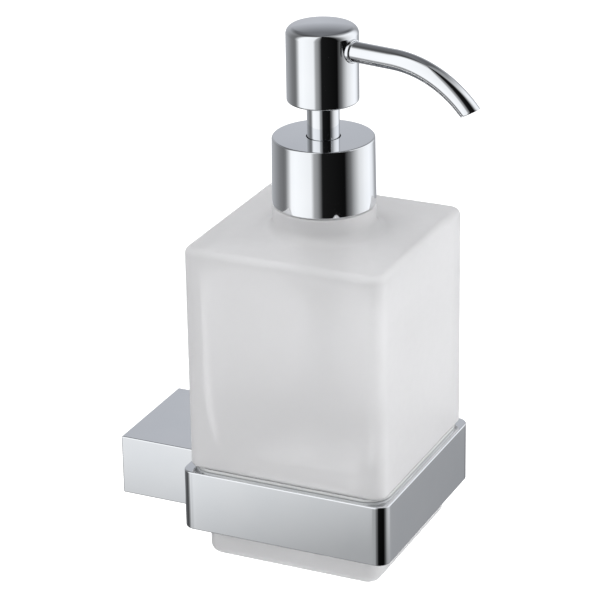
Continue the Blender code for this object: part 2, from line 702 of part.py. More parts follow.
def make_spout(head_axis):
    """The bent tube. Its mouth is cut slightly off square, shorter on the inner side of the bend."""
    mesh = tube_along("spout", spout_route(SPOUT_START, 0.003), SPOUT_RADIUS)
    spout = add_piece("spout", mesh, CHROME, head_axis)
    mesh = tube_along("spout_bore", spout_route(SPOUT_START - 0.003, 0.006), SPOUT_BORE)
    cut(spout, add_cutter("spout_bore", mesh, head_axis))
    along, _, height = spout_route(SPOUT_START)[-1]
    mesh = box_mesh("mouth_cut", (-0.01, -0.01, -0.01), (0.0, 0.01, 0.01))
    mouth = add_cutter("mouth_cut", mesh, head_axis)
    mouth.location = (
        along + SPOUT_RADIUS * math.sin(SPOUT_BEND_ANGLE),
        0.0,
        height + SPOUT_RADIUS * math.cos(SPOUT_BEND_ANGLE),
    )
    mouth.rotation_euler.y = math.pi + SPOUT_BEND_ANGLE - MOUTH_SLANT
    return cut(spout, mouth)


FERRULE_REACH = 0.0007
FERRULE_RIM = 0.0008


def make_spout_ferrule(head_axis):
    """A thin ring that covers the joint of the spout and the head."""
    start, end = HEAD_RADIUS - 0.0014, HEAD_RADIUS + FERRULE_REACH
    inside, outside, edge = SPOUT_RADIUS + GAP, SPOUT_RADIUS + FERRULE_RIM, 0.0002
    profile = [(inside, end), (outside - edge, end), (outside, end - edge), (outside, start)]
    profile += [(inside, start)]
    ferrule = turned("spout_ferrule", profile, CHROME, head_axis)
    ferrule.location.z = SPOUT_HEIGHT
    ferrule.rotation_euler.y = math.radians(90)
    clearance = HEAD_RADIUS + GAP
    mesh = rod_mesh("head_clearance", clearance, 0.02, 64)
    clear = add_cutter("head_clearance", mesh, head_axis)
    clear.location.z = SPOUT_HEIGHT - 0.01
    return cut(ferrule, clear)


def make_spout_liner(head_axis):
    """The plastic tube inside the spout."""
    mesh = tube_along("spout_liner", spout_route(0.0028, shortfall=0.004), SPOUT_BORE - GAP, sides_level=3)
    liner = add_piece("spout_liner", mesh, CLEAR_PLASTIC, head_axis)
    route = spout_route(0.0008, overrun=0.003, shortfall=0.004)
    mesh = tube_along("liner_bore", route, 0.0015, sides_level=3)
    return cut(liner, add_cutter("liner_bore", mesh, head_axis))


def make_dispenser():
    root = empty("wall_mount", (0.0, 0.0, 0.0))
    pump_axis = empty("pump_axis", (0.0, AXIS_Y, 0.0), parent=root)
    head_axis = empty("head_axis", (0.0, 0.0, 0.0), SPOUT_HEADING, pump_axis)

    make_wall_plate(root)
    make_wall_block(root)
    make_grub_screw(root)
    for side, x in (("left", -RING_SCREW_X), ("right", RING_SCREW_X)):
        make_ring_screw(side, x, root)
    make_holder_ring(pump_axis)
    make_ring_liner(pump_axis)

    make_bottle(pump_axis)
    make_neck_gasket(pump_axis)
    make_pump_housing(pump_axis)
    make_guide_bush(pump_axis)
    make_dip_tube(pump_axis)
    make_ball("inlet_ball", INLET_BALL_RADIUS, INLET_BALL_HEIGHT, pump_axis)
    make_piston(pump_axis)
    make_piston_rod(pump_axis)
    make_ball("outlet_ball", OUTLET_BALL_RADIUS, OUTLET_BALL_HEIGHT, pump_axis)
    make_return_spring(pump_axis)

    make_collar(pump_axis)
    make_collar_insert(pump_axis)
    make_head(head_axis)
    make_head_base(head_axis)
    make_head_insert(head_axis)
    make_stem_sleeve(head_axis)
    make_spout(head_axis)
    make_spout_ferrule(head_axis)
    make_spout_liner(head_axis)


make_dispenser()
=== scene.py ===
"""Looks of the wall mounted soap dispenser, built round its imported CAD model.

Metres, +Z up. The wall is the plane Y = 0 and the dispenser stands out towards -Y. Pieces that turn or
slide on the pump are modelled about an upright axis and then set on the bottle's axis.
"""

import json
import math

import bmesh
import bpy
from mathutils import Matrix, Vector

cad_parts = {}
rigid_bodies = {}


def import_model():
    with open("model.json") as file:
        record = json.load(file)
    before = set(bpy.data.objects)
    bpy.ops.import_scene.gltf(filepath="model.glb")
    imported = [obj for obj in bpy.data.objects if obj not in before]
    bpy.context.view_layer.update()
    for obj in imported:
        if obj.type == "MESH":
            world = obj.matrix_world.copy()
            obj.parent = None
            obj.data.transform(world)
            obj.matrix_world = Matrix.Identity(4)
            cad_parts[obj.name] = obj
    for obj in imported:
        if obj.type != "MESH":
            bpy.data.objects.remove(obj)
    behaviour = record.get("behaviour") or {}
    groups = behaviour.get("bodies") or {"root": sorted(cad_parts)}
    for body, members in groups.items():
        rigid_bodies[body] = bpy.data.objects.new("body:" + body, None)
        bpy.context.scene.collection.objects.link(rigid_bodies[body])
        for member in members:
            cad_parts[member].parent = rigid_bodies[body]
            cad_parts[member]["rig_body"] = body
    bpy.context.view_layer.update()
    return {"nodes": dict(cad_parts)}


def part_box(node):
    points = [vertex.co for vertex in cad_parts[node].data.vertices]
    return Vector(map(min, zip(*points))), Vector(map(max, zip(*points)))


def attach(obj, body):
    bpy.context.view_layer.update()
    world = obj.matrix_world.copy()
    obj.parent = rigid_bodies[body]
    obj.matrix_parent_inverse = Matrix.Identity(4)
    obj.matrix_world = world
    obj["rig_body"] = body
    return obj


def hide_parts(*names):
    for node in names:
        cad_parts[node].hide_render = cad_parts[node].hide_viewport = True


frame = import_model()

# Sizes that the CAD boxes don't give
RING_WALL = 0.0046
RING_CORNER = 0.0042
RING_OPENING_CORNER = 0.0055
METAL_EDGE = 0.00045
BLOCK_WALL = 0.0025
BLOCK_FRONT_WALL = 0.003
GRUB_HOLE = 0.0023
LINER_WALL = 0.0008
LINER_CORNER = 0.0052
LINER_LIP_REACH = 0.0027
FOOT_HALF = 0.03145
FOOT_CORNER = 0.005
FOOT_EDGE = 0.0033
BODY_TOP = 0.0909
BODY_CORNER = 0.0045
BODY_EDGE = 0.0025
BODY_BASE_EDGE = 0.0012
GLASS_WALL = 0.0038
BOSS_FILLET = 0.0036
NECK_RADIUS = 0.0136
NECK_BORE = 0.01
HEAD_RADIUS = 0.0119
HEAD_SKIN = 0.0009
HEAD_SHOULDER = 0.0024
HEAD_BOTTOM_EDGE = 0.0007
CROWN_RISE = 0.0007
SPOUT_HEIGHT = 0.1536
SPOUT_RADIUS = 0.00337
SPOUT_BORE = 0.0026
SPOUT_START = 0.0064
SPOUT_STRAIGHT_END = 0.0272
SPOUT_BEND_RADIUS = 0.0389
SPOUT_BEND_ANGLE = math.radians(49)
SPOUT_LENGTH = SPOUT_STRAIGHT_END - SPOUT_START + SPOUT_BEND_RADIUS * SPOUT_BEND_ANGLE
SPOUT_HEADING = math.radians(-100)
MOUTH_SLANT = math.radians(12)
MOUTH_SLANT_LENGTH = 0.004
FERRULE_REACH = 0.0006
FERRULE_RIM = 0.0006
GAP = 0.0003
TOUCH_GAP = 0.00005
CUT_MARGIN = 0.001
FINE_STEPS = 160
COARSE_STEPS = 72


def node_size(node):
    low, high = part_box(node)
    return high - low


def bottom_of(node):
    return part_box(node)[0].z


def top_of(node):
    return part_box(node)[1].z


AXIS_Y = sum(corner.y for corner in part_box("collar")) / 2
ON_PUMP_AXIS = Matrix.Translation((0.0, AXIS_Y, 0.0))
ON_HEAD_AXIS = ON_PUMP_AXIS @ Matrix.Rotation(SPOUT_HEADING, 4, "Z")
SIDEWAYS = Matrix.Rotation(math.radians(90), 4, "Y")


# Stage: camera, floor, lights and a light tent for the reflections

CAMERA_AZIMUTH = math.radians(-64.93)
CAMERA_ELEVATION = math.radians(22.89)
CAMERA_ROLL = math.radians(-0.957)
CAMERA_DISTANCE = 0.9366
CAMERA_TARGET = Vector((0.0, -0.05885, 0.0629))
CAMERA_LENS = 167.0
FLOOR_HEIGHT = -0.45
FLOOR_RADIUS = 12.0
LIGHT_TARGET = Vector((0.0, -0.068, 0.06))
TENT_RADIUS = 0.9
TENT_MIDDLE = 0.05


def make_camera():
    data = bpy.data.cameras.new("camera")
    data.lens = CAMERA_LENS
    data.sensor_width = 36.0
    data.clip_start = 0.05
    camera = bpy.data.objects.new("camera", data)
    bpy.context.scene.collection.objects.link(camera)
    level = math.cos(CAMERA_ELEVATION)
    back = Vector(
        (math.sin(CAMERA_AZIMUTH) * level, -math.cos(CAMERA_AZIMUTH) * level, math.sin(CAMERA_ELEVATION))
    )
    right = Vector((math.cos(CAMERA_AZIMUTH), math.sin(CAMERA_AZIMUTH), 0.0))
    turned = Matrix((right, back.cross(right), back)).transposed()
    place = Matrix.Translation(CAMERA_TARGET + back * CAMERA_DISTANCE)
    camera.matrix_world = place @ turned.to_4x4() @ Matrix.Rotation(CAMERA_ROLL, 4, "Z")
    bpy.context.scene.camera = camera


def make_floor():
    shape = bmesh.new()
    bmesh.ops.create_circle(shape, cap_ends=True, segments=96, radius=FLOOR_RADIUS)
    mesh = bpy.data.meshes.new("floor")
    shape.to_mesh(mesh)
    shape.free()
    floor = bpy.data.objects.new("floor", mesh)
    floor.location.z = FLOOR_HEIGHT
    floor.visible_glossy = False
    bpy.context.scene.collection.objects.link(floor)
    material, shader = new_material("pale_floor", (0.93, 0.93, 0.93), 0.8)
    shader.inputs["Emission Color"].default_value = (1.0, 1.0, 1.0, 1.0)
    shader.inputs["Emission Strength"].default_value = 0.35
    mesh.materials.append(material)


def make_light(name, place, size, power):
    data = bpy.data.lights.new(name, "AREA")
    data.shape = "DISK"
    data.size = size
    data.energy = power
    light = bpy.data.objects.new(name, data)
    light.location = place
    aim = LIGHT_TARGET - Vector(place)
    light.rotation_euler = aim.to_track_quat("-Z", "Y").to_euler()
    light.visible_glossy = False
    light.visible_camera = False
    bpy.context.scene.collection.objects.link(light)


def make_world():
    world = bpy.data.worlds.new("white_studio")
    world.use_nodes = True
    background = world.node_tree.nodes["Background"]
    background.inputs["Color"].default_value = (1.0, 1.0, 1.0, 1.0)
    background.inputs["Strength"].default_value = 1.0
    bpy.context.scene.world = world


# Brightness of the tent's side cards: angle in degrees to the right of the direction towards the camera,
# and brightness. These and the lists below were chosen for the bands on the chrome.
TENT_CARDS = (
    (-180, 0.58),
    (-139, 0.38),
    (-112, 0.22),
    (-99, 0.18),
    (-93, 0.22),
    (-85, 0.57),
    (-77, 1.08),
    (-66, 1.12),
    (-45, 1.06),
    (-29, 1.0),
    (-22, 0.42),
    (-14, 0.3),
    (-4, 0.01),
    (46, 0.004),
    (60, 0.18),
    (83, 0.82),
    (100, 1.02),
    (116, 1.1),
    (128, 1.0),
    (134, 0.85),
    (148, 0.37),
    (180, 0.58),
)
# How the cards fade towards the floor: sine of the elevation, and share of the brightness
TENT_FADE = (
    (-1.0, 0.1),
    (-0.8, 0.22),
    (-0.62, 0.36),
    (-0.52, 0.4),
    (-0.495, 0.55),
    (-0.47, 0.7),
    (-0.455, 0.78),
    (-0.42, 0.88),
    (-0.36, 0.97),
    (-0.32, 1.0),
)
# Where the fade starts higher or lower: angle as above, and what it adds to the sine
TENT_SLANT = (
    (-180, 0.0),
    (-100, -0.05),
    (-82, -0.09),
    (-70, 0.0),
    (-62, -0.012),
    (-55, 0.01),
    (-44, -0.018),
    (-38, -0.05),
    (60, 0.0),
    (112, 0.0),
    (123, -0.07),
    (137, -0.07),
    (150, 0.0),
    (180, 0.0),
)
# The dim roof leans back from the camera: cosine of the angle to its middle, and share of the roof
TENT_ROOF = ((0.743, 0.0), (0.82, 0.3), (0.89, 0.65), (0.966, 1.0))
ROOF_MIDDLE = Vector((-math.cos(math.radians(65)), 0.0, math.sin(math.radians(65))))
ROOF_BRIGHTNESS = 0.34
# The back of the tent is bluer than its front
FRONT_TINT = (0.97, 0.985, 1.0)
BACK_TINT = (0.945, 0.975, 1.045)


def ramp(tree, stops, factor):
    """A colour ramp through (position, brightness or colour) stops, linked to its factor."""
    node = tree.nodes.new("ShaderNodeValToRGB")
    elements = node.color_ramp.elements
    while len(elements) < len(stops):
        elements.new(0.5)
    for element, (position, level) in zip(elements, stops):
        element.position = position
        element.color = (*level, 1.0) if isinstance(level, tuple) else (level, level, level, 1.0)
    tree.links.new(factor, node.inputs["Fac"])
    return node.outputs["Color"]


def math_node(tree, operation, first, second):
    node = tree.nodes.new("ShaderNodeMath")
    node.operation = operation
    for socket, value in zip(node.inputs, (first, second)):
        if isinstance(value, (int, float)):
            socket.default_value = value
        else:
            tree.links.new(value, socket)
    return node.outputs["Value"]


def halved(tree, value):
    """Brings a value from the range -1 to 1 into the range 0 to 1."""
    return math_node(tree, "ADD", math_node(tree, "MULTIPLY", value, 0.5), 0.5)


def card_colour(angle, level):
    """The card's brightness with the tint of its side of the tent."""
    back = max(abs(angle) / 90 - 1, 0.0)
    return tuple(level * (f + back * (b - f)) for f, b in zip(FRONT_TINT, BACK_TINT))


def make_tent():
    """A glowing shell that only reflections see: bright and dark cards round the side, and a dim roof."""
    shape = bmesh.new()
    bmesh.ops.create_uvsphere(shape, u_segments=64, v_segments=32, radius=1.0)
    mesh = bpy.data.meshes.new("light_tent")
    shape.to_mesh(mesh)
    shape.free()
    tent = bpy.data.objects.new("light_tent", mesh)
    tent.location = (0.0, AXIS_Y, TENT_MIDDLE)
    tent.scale = (TENT_RADIUS,) * 3
    tent.rotation_euler.z = CAMERA_AZIMUTH - math.radians(90)
    bpy.context.scene.collection.objects.link(tent)
    for ray in ("camera", "diffuse", "transmission", "volume_scatter", "shadow"):
        setattr(tent, f"visible_{ray}", False)
    material = bpy.data.materials.new("light_tent")
    material.use_nodes = True
    material.cycles.emission_sampling = "NONE"
    tree = material.node_tree
    tree.nodes.clear()
    place = tree.nodes.new("ShaderNodeSeparateXYZ")
    tree.links.new(tree.nodes.new("ShaderNodeTexCoord").outputs["Object"], place.inputs["Vector"])
    turn = math_node(tree, "ARCTAN2", place.outputs["Y"], place.outputs["X"])
    turn = halved(tree, math_node(tree, "MULTIPLY", turn, 1 / math.pi))
    colours = [((angle + 180) / 360, card_colour(angle, level)) for angle, level in TENT_CARDS]
    cards = ramp(tree, colours, turn)
    slant = ramp(tree, [((angle + 180) / 360, 0.5 + shift) for angle, shift in TENT_SLANT], turn)
    slanted = math_node(tree, "ADD", place.outputs["Z"], math_node(tree, "SUBTRACT", slant, 0.5))
    fade = ramp(tree, [((sine + 1) / 2, share) for sine, share in TENT_FADE], halved(tree, slanted))
    across = math_node(tree, "MULTIPLY", place.outputs["X"], ROOF_MIDDLE.x)
    upward = math_node(tree, "MULTIPLY", place.outputs["Z"], ROOF_MIDDLE.z)
    roof = ramp(
        tree,
        [((cosine + 1) / 2, share) for cosine, share in TENT_ROOF],
        halved(tree, math_node(tree, "ADD", across, upward)),
    )
    share = math_node(tree, "MULTIPLY", fade, math_node(tree, "SUBTRACT", 1.0, roof))
    glow = tree.nodes.new("ShaderNodeEmission")
    tree.links.new(cards, glow.inputs["Color"])
    tree.links.new(math_node(tree, "MAXIMUM", share, ROOF_BRIGHTNESS), glow.inputs["Strength"])
    output = tree.nodes.new("ShaderNodeOutputMaterial")
    tree.links.new(glow.outputs["Emission"], output.inputs["Surface"])
    mesh.materials.append(material)


# Materials

def new_material(name, colour, roughness, metallic=0.0):
    material = bpy.data.materials.new(name)
    material.use_nodes = True
    shader = material.node_tree.nodes["Principled BSDF"]
    shader.inputs["Base Color"].default_value = (*colour, 1.0)
    shader.inputs["Roughness"].default_value = roughness
    shader.inputs["Metallic"].default_value = metallic
    return material, shader


def noise(tree, scale, detail=3.0, stretch=(1.0, 1.0, 1.0)):
    """Noise in the object's own space, with scale in features for each metre."""
    place = tree.nodes.new("ShaderNodeTexCoord")
    mapping = tree.nodes.new("ShaderNodeMapping")
    mapping.inputs["Scale"].default_value = stretch
    tree.links.new(place.outputs["Object"], mapping.inputs["Vector"])
    node = tree.nodes.new("ShaderNodeTexNoise")
    node.inputs["Scale"].default_value = scale
    node.inputs["Detail"].default_value = detail
    tree.links.new(mapping.outputs["Vector"], node.inputs["Vector"])
    return node.outputs["Fac"]


# The part of a noise's range that is spread over the whole change
NOISE_LOW = 0.3
NOISE_HIGH = 0.7


def vary(material, socket, factor, low, high):
    """Makes a shader value run from low to high with the factor."""
    tree = material.node_tree
    node = tree.nodes.new("ShaderNodeMapRange")
    node.inputs["From Min"].default_value = NOISE_LOW
    node.inputs["From Max"].default_value = NOISE_HIGH
    node.inputs["To Min"].default_value = low
    node.inputs["To Max"].default_value = high
    tree.links.new(factor, node.inputs["Value"])
    tree.links.new(node.outputs["Result"], tree.nodes["Principled BSDF"].inputs[socket])


def tint(material, factor, colour_a, colour_b):
    """Makes the base colour run between two colours with the factor."""
    tree = material.node_tree
    node = tree.nodes.new("ShaderNodeValToRGB")
    node.color_ramp.elements[0].position = NOISE_LOW
    node.color_ramp.elements[0].color = (*colour_a, 1.0)
    node.color_ramp.elements[1].position = NOISE_HIGH
    node.color_ramp.elements[1].color = (*colour_b, 1.0)
    tree.links.new(factor, node.inputs["Fac"])
    tree.links.new(node.outputs["Color"], tree.nodes["Principled BSDF"].inputs["Base Color"])


def bump(material, factor, depth):
    """Raises the surface with the factor, by up to depth metres."""
    tree = material.node_tree
    node = tree.nodes.new("ShaderNodeBump")
    node.inputs["Strength"].default_value = 1.0
    node.inputs["Distance"].default_value = depth
    tree.links.new(factor, node.inputs["Height"])
    tree.links.new(node.outputs["Normal"], tree.nodes["Principled BSDF"].inputs["Normal"])


def make_chrome():
    material, _ = new_material("polished_chrome", (0.86, 0.87, 0.89), 0.04, metallic=1.0)
    tree = material.node_tree
    tint(material, noise(tree, 60.0), (0.845, 0.86, 0.88), (0.875, 0.885, 0.9))
    vary(material, "Roughness", noise(tree, 220.0, 5.0), 0.02, 0.055)
    bump(material, noise(tree, 140.0, 1.0), 0.0000004)
    return material


def make_frosted_glass():
    material, shader = new_material("frosted_glass", (0.7, 0.7, 0.71), 0.5)
    shader.inputs["IOR"].default_value = 1.5
    shader.inputs["Transmission Weight"].default_value = 0.45
    tree = material.node_tree
    tint(material, noise(tree, 45.0, 4.0), (0.715, 0.715, 0.725), (0.73, 0.73, 0.742))
    vary(material, "Roughness", noise(tree, 300.0, 5.0), 0.44, 0.52)
    bump(material, noise(tree, 4000.0, 2.0), 0.000006)
    return material


def make_cavity_glass():
    """The untreated inner surface of the bottle."""
    material, shader = new_material("cavity_glass", (0.97, 0.97, 0.975), 0.12)
    shader.inputs["IOR"].default_value = 1.5
    shader.inputs["Transmission Weight"].default_value = 1.0
    tree = material.node_tree
    vary(material, "Roughness", noise(tree, 90.0), 0.08, 0.18)
    bump(material, noise(tree, 55.0, 1.0), 0.0002)
    return material


def make_white_plastic():
    material, shader = new_material("white_plastic", (0.62, 0.62, 0.61), 0.4)
    shader.inputs["Subsurface Weight"].default_value = 0.15
    shader.inputs["Subsurface Radius"].default_value = (0.002, 0.002, 0.002)
    tree = material.node_tree
    tint(material, noise(tree, 90.0), (0.6, 0.6, 0.59), (0.64, 0.64, 0.63))
    vary(material, "Roughness", noise(tree, 500.0, 5.0), 0.34, 0.46)
    bump(material, noise(tree, 1500.0, 3.0), 0.000006)
    return material


def make_clear_plastic():
    material, shader = new_material("clear_plastic", (0.9, 0.91, 0.92), 0.22)
    shader.inputs["IOR"].default_value = 1.46
    shader.inputs["Transmission Weight"].default_value = 0.85
    tree = material.node_tree
    vary(material, "Roughness", noise(tree, 400.0, 4.0, (1.0, 1.0, 0.15)), 0.16, 0.3)
    bump(material, noise(tree, 900.0, 2.0, (1.0, 1.0, 0.1)), 0.000008)
    return material


def make_soft_plastic():
    material, _ = new_material("soft_plastic", (0.62, 0.63, 0.63), 0.55)
    tree = material.node_tree
    tint(material, noise(tree, 150.0), (0.6, 0.61, 0.615), (0.64, 0.65, 0.65))
    vary(material, "Roughness", noise(tree, 700.0, 4.0), 0.48, 0.64)
    bump(material, noise(tree, 2500.0, 3.0), 0.00001)
    return material


def make_steel():
    material, _ = new_material("stainless_steel", (0.6, 0.6, 0.6), 0.3, metallic=1.0)
    tree = material.node_tree
    tint(material, noise(tree, 400.0, 3.0), (0.54, 0.54, 0.545), (0.66, 0.66, 0.655))
    vary(material, "Roughness", noise(tree, 900.0, 4.0), 0.22, 0.38)
    bump(material, noise(tree, 3000.0, 2.0, (1.0, 1.0, 0.2)), 0.000003)
    return material


def make_zinc():
    material, _ = new_material("zinc_plate", (0.55, 0.56, 0.58), 0.4, metallic=1.0)
    tree = material.node_tree
    tint(material, noise(tree, 240.0, 6.0), (0.46, 0.47, 0.5), (0.62, 0.63, 0.64))
    vary(material, "Roughness", noise(tree, 300.0, 5.0), 0.32, 0.5)
    bump(material, noise(tree, 1200.0, 4.0), 0.000008)
    return material


CHROME = make_chrome()
FROSTED_GLASS = make_frosted_glass()
CAVITY_GLASS = make_cavity_glass()
WHITE_PLASTIC = make_white_plastic()
CLEAR_PLASTIC = make_clear_plastic()
SOFT_PLASTIC = make_soft_plastic()
STEEL = make_steel()
ZINC = make_zinc()


# Modelling helpers

def mesh_of(name, shape):
    bmesh.ops.recalc_face_normals(shape, faces=shape.faces)
    mesh = bpy.data.meshes.new(name)
    shape.to_mesh(mesh)
    shape.free()
    mesh.shade_smooth()
    return mesh


def add_piece(name, mesh, material, nodes, place=None, sharp_angle=None, body=None):
    """A finished piece that stands for CAD nodes and rides on their body, or is added to a body."""
    if place is not None:
        mesh.transform(place)
    mesh.materials.append(material)
    if sharp_angle is not None:
        mesh.set_sharp_from_angle(angle=math.radians(sharp_angle))
    piece = bpy.data.objects.new(name, mesh)
    bpy.context.scene.collection.objects.link(piece)
    normals = piece.modifiers.new("normals", "WEIGHTED_NORMAL")
    normals.keep_sharp = True
    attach(piece, body or frame["nodes"][nodes[0]]["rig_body"])
    if nodes:
        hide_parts(*nodes)
    return piece


def rounded(corners, points=6):
    """A closed outline through (x, y, radius) corners, each rounded by its own radius."""
    outline = []
    for i, (x, y, radius) in enumerate(corners):
        here = Vector((x, y))
        if not radius:
            outline.append(here)
            continue
        before = (Vector(corners[i - 1][:2]) - here).normalized()
        after = (Vector(corners[(i + 1) % len(corners)][:2]) - here).normalized()
        half = before.angle(after) / 2
        middle = here + (before + after).normalized() * radius / math.sin(half)
        start = here + before * radius / math.tan(half) - middle
        end = here + after * radius / math.tan(half) - middle
        sweep = math.atan2(start.x * end.y - start.y * end.x, start.dot(end))
        for k in range(points):
            outline.append(middle + Matrix.Rotation(sweep * k / (points - 1), 2) @ start)
    return outline


def skin(shape, loops, closed):
    """Faces between neighbouring loops of vertices; a loop of one vertex is a point on the axis."""
    pairs = list(zip(loops, loops[1:]))
    if closed:
        pairs.append((loops[-1], loops[0]))
    for first, second in pairs:
        count = max(len(first), len(second))
        for i in range(count):
            j = (i + 1) % count
            corners = [first[i % len(first)], first[j % len(first)]]
            corners += [second[j % len(second)], second[i % len(second)]]
            corners = list(dict.fromkeys(corners))
            if len(corners) > 2:
                shape.faces.new(corners)


def lathe(name, outline, steps=FINE_STEPS):
    """A mesh turned about Z from a (radius, height) outline. It is closed, or ends on the axis."""
    shape = bmesh.new()
    loops = []
    for radius, height in outline:
        if radius < 1e-7:
            loops.append([shape.verts.new((0.0, 0.0, height))])
            continue
        angles = [math.tau * i / steps for i in range(steps)]
        loops.append(
            [shape.verts.new((radius * math.cos(a), radius * math.sin(a), height)) for a in angles]
        )
    skin(shape, loops, closed=len(loops[0]) > 1)
    return mesh_of(name, shape)


QUARTER = [0.0, 5.0, 10.0, 15.0, 20.0, 25.0, 30.0, 34.0]
QUARTER += [37.0 + i for i in range(17)]
QUARTER += [90.0 - angle for angle in QUARTER[7:0:-1]]
DIRECTIONS = [math.radians(90 * quarter + angle) for quarter in range(4) for angle in QUARTER]


def square_point(angle, half, corner):
    """The point of a square with round corners in one direction. At corner = half it is a circle."""
    x, y = math.cos(angle), math.sin(angle)
    flat = half - corner
    if min(abs(x), abs(y)) * half <= flat * max(abs(x), abs(y)):
        reach = half / max(abs(x), abs(y))
    else:
        along = flat * (abs(x) + abs(y))
        reach = along + math.sqrt(max(along * along - 2 * flat * flat + corner * corner, 0.0))
    return reach * x, reach * y


def square_loops(shape, sections):
    """A loop of vertices for each (half width, corner radius, height) section."""
    return [
        [shape.verts.new((*square_point(angle, half, corner), height)) for angle in DIRECTIONS]
        for half, corner, height in sections
    ]


def carve(piece, cutter_mesh, operation="DIFFERENCE"):
    """Cuts a mesh out of a piece, or joins it on, and keeps the result as the piece's own mesh."""
    cutter = bpy.data.objects.new("cutter", cutter_mesh)
    bpy.context.scene.collection.objects.link(cutter)
    boolean = piece.modifiers.new("cut", "BOOLEAN")
    boolean.operation = operation
    boolean.object = cutter
    others = [modifier for modifier in piece.modifiers if modifier != boolean]
    for modifier in others:
        modifier.show_viewport = False
    graph = bpy.context.evaluated_depsgraph_get()
    mesh = bpy.data.meshes.new_from_object(piece.evaluated_get(graph))
    for modifier in others:
        modifier.show_viewport = True
    piece.modifiers.remove(boolean)
    piece.data = mesh
    bpy.data.objects.remove(cutter, do_unlink=True)


def rod(name, radius, length, place, tilt=0.0, sides=48):
    """A cylinder that starts at a place and runs along +Z, tilted about X."""
    shape = bmesh.new()
    bmesh.ops.create_cone(
        shape, cap_ends=True, segments=sides, radius1=radius, radius2=radius, depth=length
    )
    bmesh.ops.translate(shape, verts=shape.verts, vec=(0, 0, length / 2))
    mesh = mesh_of(name, shape)
    mesh.transform(Matrix.Translation(place) @ Matrix.Rotation(tilt, 4, "X"))
    return mesh


def cuboid(name, low, high, edge=0.0, segments=4):
    """A box between two corners with rounded edges."""
    low, high = Vector(low), Vector(high)
    shape = bmesh.new()
    bmesh.ops.create_cube(shape, size=1.0)
    for point in shape.verts:
        point.co = (low + high) / 2 + Vector(point.co[i] * (high - low)[i] for i in range(3))
    if edge:
        bmesh.ops.bevel(
            shape, geom=shape.edges[:], offset=edge, segments=segments, profile=0.5, affect="EDGES"
        )
    return mesh_of(name, shape)


# The bracket on the wall

def make_ring():
    """The square ring: sections round its outer side, over the top, down the opening and back."""
    half = node_size("holder_ring").x / 2
    bottom, top = bottom_of("holder_ring"), top_of("holder_ring")
    opening, edge = half - RING_WALL, METAL_EDGE
    sections = []
    for reach, height in rounded(
        [(half, bottom, edge), (half, top, edge), (opening, top, edge), (opening, bottom, edge)]
    ):
        outer = reach > (half + opening) / 2
        corner = RING_CORNER - (half - reach) if outer else RING_OPENING_CORNER + (reach - opening)
        sections.append((reach, corner, height))
    shape = bmesh.new()
    skin(shape, square_loops(shape, sections), closed=True)
    add_piece("chrome_ring", mesh_of("chrome_ring", shape), CHROME, ["holder_ring"], ON_PUMP_AXIS)


def make_block():
    low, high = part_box("wall_block")
    mesh = cuboid("chrome_block", low, high, METAL_EDGE)
    block = add_piece("chrome_block", mesh, CHROME, ["wall_block"], sharp_angle=60)
    deep = low + Vector((BLOCK_WALL, BLOCK_FRONT_WALL, BLOCK_WALL))
    back = high - Vector((BLOCK_WALL, -2 * CUT_MARGIN, BLOCK_WALL))
    carve(block, cuboid("hollow", deep, back, 0.0006))
    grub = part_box("grub_screw")
    middle = (grub[0] + grub[1]) / 2
    place = (middle.x, middle.y, low.z - CUT_MARGIN)
    carve(block, rod("hole", GRUB_HOLE, BLOCK_WALL + 2 * CUT_MARGIN, place))
    block.data.shade_smooth()
    block.data.set_sharp_from_angle(angle=math.radians(50))


def make_liner():
    """The soft sleeve in the ring, with its lip under the bottle's shoulder."""
    low, high = bottom_of("ring_liner"), top_of("ring_liner") + GAP - TOUCH_GAP
    lip = node_size("ring_liner").x / 2
    outside = lip - LINER_LIP_REACH
    inside = outside - LINER_WALL
    step = top_of("holder_ring") + TOUCH_GAP
    corners = [(outside, low, 0.0002), (outside, step, 0.0), (lip, step, 0.0001), (lip, high, 0.0002)]
    corners += [(inside, high, 0.0002), (inside, low, 0.0002)]
    sections = [(reach, LINER_CORNER + reach - outside, height) for reach, height in rounded(corners, 4)]
    shape = bmesh.new()
    skin(shape, square_loops(shape, sections), closed=True)
    mesh = mesh_of("soft_liner", shape)
    add_piece("soft_liner", mesh, SOFT_PLASTIC, ["ring_liner"], ON_PUMP_AXIS, sharp_angle=50)


# The bottle

